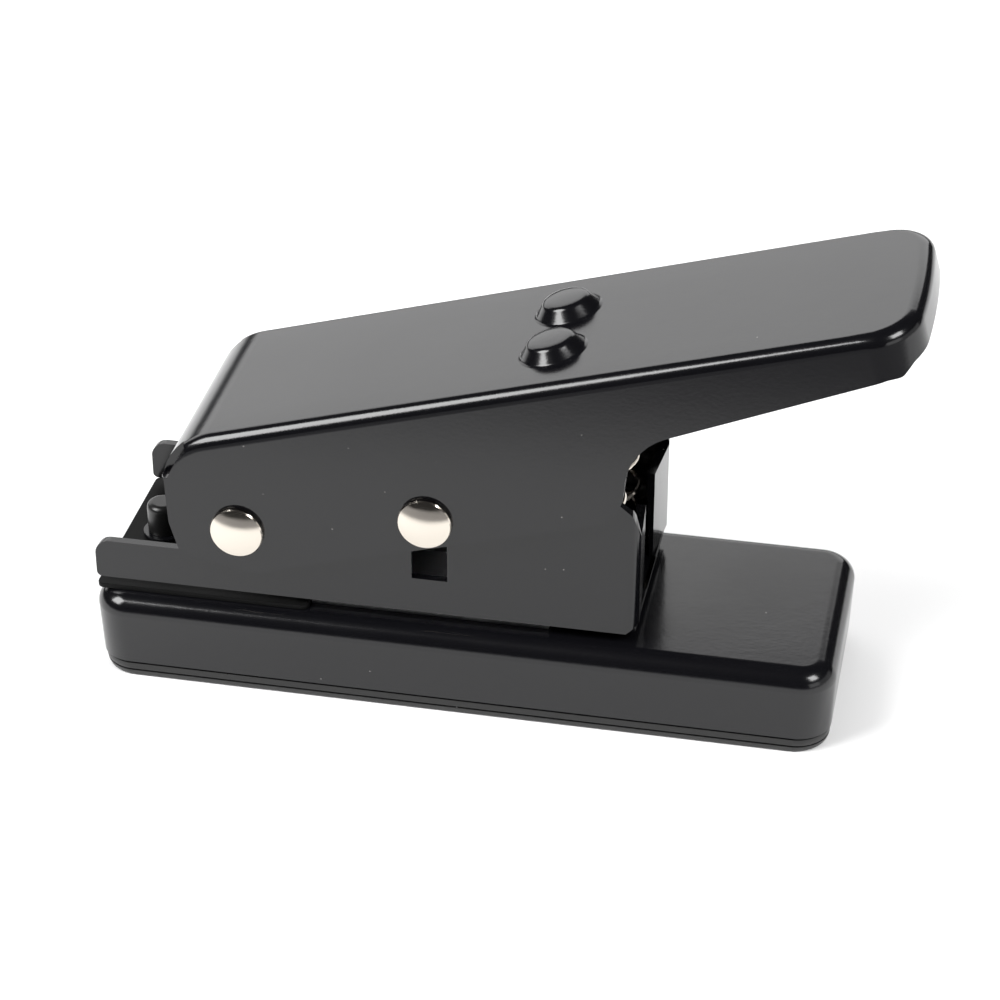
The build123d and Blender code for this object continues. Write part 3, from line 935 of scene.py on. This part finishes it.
@dataclass
class Rivets:
    """The two nickel rivets, with low domed heads on both walls. Sizes in millimetres."""

    finishes: Finishes
    shank: float = 2.0
    head: float = 3.65
    rise: float = 1.5
    crown: float = 0.62

    def build(self) -> None:
        """Turn both rivets."""
        for node in ("pivot_rivet", "drive_rivet"):
            low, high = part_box(node)
            centre = (low + high) / 2
            reach = high.y / MM - self.rise
            end = reach + self.rise
            profile = [(0.0, -end), *self._head(-1, reach), *self._head(1, reach), (0.0, end)]
            obj = turned(node + "_domed", profile, centre, (0, 1, 0), 64)
            finish_piece(obj, "lever", self.finishes[Slot.NICKEL], Slot.NICKEL.value, node)

    def _head(self, side: int, reach: float) -> list[Point]:
        """Half the profile of one end, from the crown to the shank or back."""
        face, steps = self.head - 0.3, 10
        sphere = (face ** 2 + self.crown ** 2) / (2 * self.crown)
        dome = []
        for i in range(1, steps + 1):
            r = face * i / steps
            dome.append((r, side * (reach + self.rise - sphere + math.sqrt(sphere ** 2 - r ** 2))))
        edge = reach + self.rise - self.crown
        dome += [(self.head - 0.12, side * (edge - 0.07)), (self.head, side * (edge - 0.26))]
        dome += [(self.head, side * (reach + 0.12)), (self.head - 0.12, side * reach)]
        dome += [(self.shank, side * reach)]
        return dome if side < 0 else dome[::-1]


@dataclass
class Springs:
    """Two right-handed compression springs between the frame's floor and the lever. In millimetres."""

    finishes: Finishes
    wire: float = 0.4
    outer: float = 4.0
    bow: float = 1.1
    lean_curve: float = 2.2
    end_close: float = 0.0495
    turns: int = 9
    steps: int = 28

    def build(self) -> None:
        """Wind both springs and bow them to the lever's tilt."""
        for node in ("return_spring_right", "return_spring_left"):
            low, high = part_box(node)
            y = (low.y + high.y) / 2
            foot = Vector((high.x - self.outer * MM, y, low.z))
            crown = Vector((low.x + self.outer * MM * 1.1, y, high.z - 0.6 * MM))
            obj = self._coil(node + "_wire", foot, crown)
            finish_piece(obj, "", self.finishes[Slot.NICKEL], Slot.NICKEL.value, node)
            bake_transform(obj)

    def _coil(self, name: str, foot: Vector, crown: Vector) -> bpy.types.Object:
        """Wind one coil and lay it along a bowed axis.

        Args:
            name: The object's name.
            foot: Where the coil starts, in metres.
            crown: Where it ends.

        Returns:
            The coil, closed at both ends.
        """
        rest_tools()
        mean = (self.outer - self.wire) * MM
        bpy.ops.mesh.primitive_circle_add(
            vertices=10, radius=self.wire * MM, location=(mean, 0, 0), rotation=(math.pi / 2, 0, 0),
        )
        obj = bpy.context.object
        obj.name = name
        bpy.ops.object.transform_apply(location=True, rotation=True, scale=True)
        height = crown.z - foot.z - 2 * self.wire * MM
        apply_modifier(
            obj, "SCREW", angle=2 * math.pi, iterations=self.turns, steps=self.steps, render_steps=self.steps,
            screw_offset=height / self.turns, axis="Z", use_merge_vertices=False, use_smooth_shade=True,
        )
        pick(obj, "edges", lambda e: e.is_boundary)
        bpy.ops.mesh.edge_face_add()
        pick(obj, "verts", lambda v: True)
        bpy.ops.mesh.normals_make_consistent(inside=False)
        rest_tools()
        lean = crown.x - foot.x
        for v in obj.data.vertices:
            t = min(1.0, max(0.0, v.co.z / height))
            packed = self._closed_ends(t) * height + (v.co.z - t * height)
            bow = self.bow * MM * math.sin(math.pi * t)
            along = v.co.x + foot.x + lean * t ** self.lean_curve + bow
            v.co = Vector((along, v.co.y + foot.y, foot.z + self.wire * MM + packed))
        return obj

    def _closed_ends(self, t: float) -> float:
        """Close the end coils: slow rise at both ends, even pitch between."""
        return t - self.end_close * math.sin(2 * math.pi * t)


@dataclass
class SmallParts:
    """Plates, blocks, screws and the rear stud, with their broken edges."""

    finishes: Finishes

    def build(self) -> None:
        """Copy, break and dress each machined or punched piece."""
        slots = {p["node"]: p["material_slot"] for p in frame["record"]["subparts"]}
        bodies = {n: body for body, nodes in frame["record"]["behaviour"]["bodies"].items() for n in nodes}
        widths = {
            "guide_plate": 0.1, "die_block": 0.15, "card_rail_left": 0.08, "card_rail_right": 0.08,
            "punch_guide": 0.15, "punch_ram": 0.2, "punch": 0.05, "stud_washer": 0.1, "rear_stud": 0.1,
            "stud_nut": 0.15, "spring_seats": 0.1, "frame_screws": 0.15, "guide_screws": 0.1,
            "ram_screws": 0.1, "pivot_washers": 0.1, "drive_washers": 0.1, "pivot_spacer": 0.12,
        }
        for node, width in widths.items():
            obj = copy_of(node, node + "_edged")
            break_edges(obj, width, 40)
            slot = Slot(slots[node])
            material = self.finishes.dull if node == "guide_plate" else self.finishes[slot]
            finish_piece(obj, bodies[node], material, slot.value, node)


# ---- studio --------------------------------------------------------------------------------


@dataclass
class Studio:
    """Pale floor with painted shade in front of the punch, soft lights and the camera. Lens and aim in
    millimetres, the rest in metres and watts.
    """

    azimuth: float = 11.315
    elevation: float = 31.916
    distance: float = 408.7
    lens: float = 107.37
    aim_ahead: float = 53.91
    aim_above: float = 10.36
    # Painted shade on the floor: where it starts and where it is full, in metres in front of the punch's middle.
    painted_shade_start: float = 0.075
    painted_shade_full: float = 0.125
    ambient: float = 0.03
    lamps: tuple = (
        ("softbox_left", (-0.62, -0.42, 0.72), 1.2, (0.6, 0.6), 15.0),
        ("softbox_right", (0.62, -0.36, 0.78), 1.2, (0.46, 0.46), 8.5),
        ("backdrop", (-0.35, 0.84, 0.40), 1.6, (2.6, 0.8), 12.0),
        ("side_card", (1.0, 0.05, 0.12), 0.9, (0.9, 0.5), 0.8),
        ("front_card", (0.75, -0.62, 0.22), 0.9, (0.5, 0.3), 0.7),
        ("room", (0.0, 0.1, 1.0), 1.5, (2.5, 2.5), 18.0),
    )

    def build(self) -> None:
        """Set up the floor, the lights and the camera."""
        self._floor()
        self._world()
        self._lights()
        self._camera()

    def _floor(self) -> None:
        """A wide floor, pale round the punch, with painted shade in front of it: its colour darkens to grey past
        the shade's start, standing in for the shade there.
        """
        rest_tools()
        bpy.ops.mesh.primitive_plane_add(size=6.0, location=(0, 0, 0))
        floor = bpy.context.object
        floor.name = "pale_floor"
        material = bpy.data.materials.new("pale_floor")
        material.use_nodes = True
        shader = material.node_tree.nodes["Principled BSDF"]
        shader.inputs["Roughness"].default_value = 0.7
        shader.inputs["Specular IOR Level"].default_value = 0.2
        tree = material.node_tree
        apart = tree.nodes.new("ShaderNodeSeparateXYZ")
        tree.links.new(tree.nodes.new("ShaderNodeTexCoord").outputs["Object"], apart.inputs[0])
        fade = tree.nodes.new("ShaderNodeMapRange")
        fade.interpolation_type = "SMOOTHSTEP"
        fade.inputs["From Min"].default_value = -self.painted_shade_full
        fade.inputs["From Max"].default_value = -self.painted_shade_start
        tree.links.new(apart.outputs["Y"], fade.inputs["Value"])
        # Painted shade: dark grey in front of the punch, pale round it, so that the enamel reflects a darker floor
        # there.
        tint = tree.nodes.new("ShaderNodeMix")
        tint.data_type = "RGBA"
        tint.inputs["A"].default_value = (0.2, 0.2, 0.205, 1)
        tint.inputs["B"].default_value = (0.95, 0.95, 0.95, 1)
        tree.links.new(fade.outputs["Result"], tint.inputs["Factor"])
        tree.links.new(tint.outputs["Result"], shader.inputs["Base Color"])
        floor.data.materials.append(material)

    def _world(self) -> None:
        """Dim surroundings, so that the enamel reflects little but the lights and the floor."""
        world = bpy.data.worlds.new("studio")
        bpy.context.scene.world = world
        world.use_nodes = True
        sky = world.node_tree.nodes["Background"]
        sky.inputs["Color"].default_value = (1.0, 0.99, 1.0, 1)
        sky.inputs["Strength"].default_value = self.ambient
        bpy.context.scene.view_settings.view_transform = "Standard"

    def _lights(self) -> None:
        """Hang each lamp at its distance, facing the punch. The room light gives no reflection."""
        for name, toward, far, size, power in self.lamps:
            data = bpy.data.lights.new(name, "AREA")
            data.shape = "RECTANGLE"
            data.size, data.size_y = size
            data.energy = power
            light = bpy.data.objects.new(name, data)
            bpy.context.scene.collection.objects.link(light)
            light.visible_glossy = name != "room"
            light.location = Vector(toward).normalized() * far
            light.rotation_euler = Vector(toward).to_track_quat("Z", "Y").to_euler()

    def _camera(self) -> None:
        """A long lens, a little above and to the front of the near side."""
        low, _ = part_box("side_frame")
        target = Vector((low.x + self.aim_ahead * MM, 0, low.z + self.aim_above * MM))
        a, e = math.radians(self.azimuth), math.radians(self.elevation)
        back = Vector((math.sin(a) * math.cos(e), -math.cos(a) * math.cos(e), math.sin(e)))
        data = bpy.data.cameras.new("camera")
        data.lens = self.lens
        data.sensor_width = 36.0
        data.clip_start, data.clip_end = 0.01, 20.0
        camera = bpy.data.objects.new("camera", data)
        bpy.context.scene.collection.objects.link(camera)
        camera.location = target + back * self.distance * MM
        camera.rotation_euler = back.to_track_quat("Z", "Y").to_euler()
        bpy.context.scene.camera = camera


def main() -> None:
    """Build the punch, piece by piece, and the studio round it."""
    logging.basicConfig(level=logging.INFO, format="%(name)s: %(message)s")
    finishes = Finishes(Effects())
    for assembly in (Base, SideFrame, Lever, Rivets, Springs, SmallParts):
        assembly(finishes).build()
        log.info("built %s", assembly.__name__)
    Studio().build()
    rest_tools()


if __name__ == "__main__":
    main()
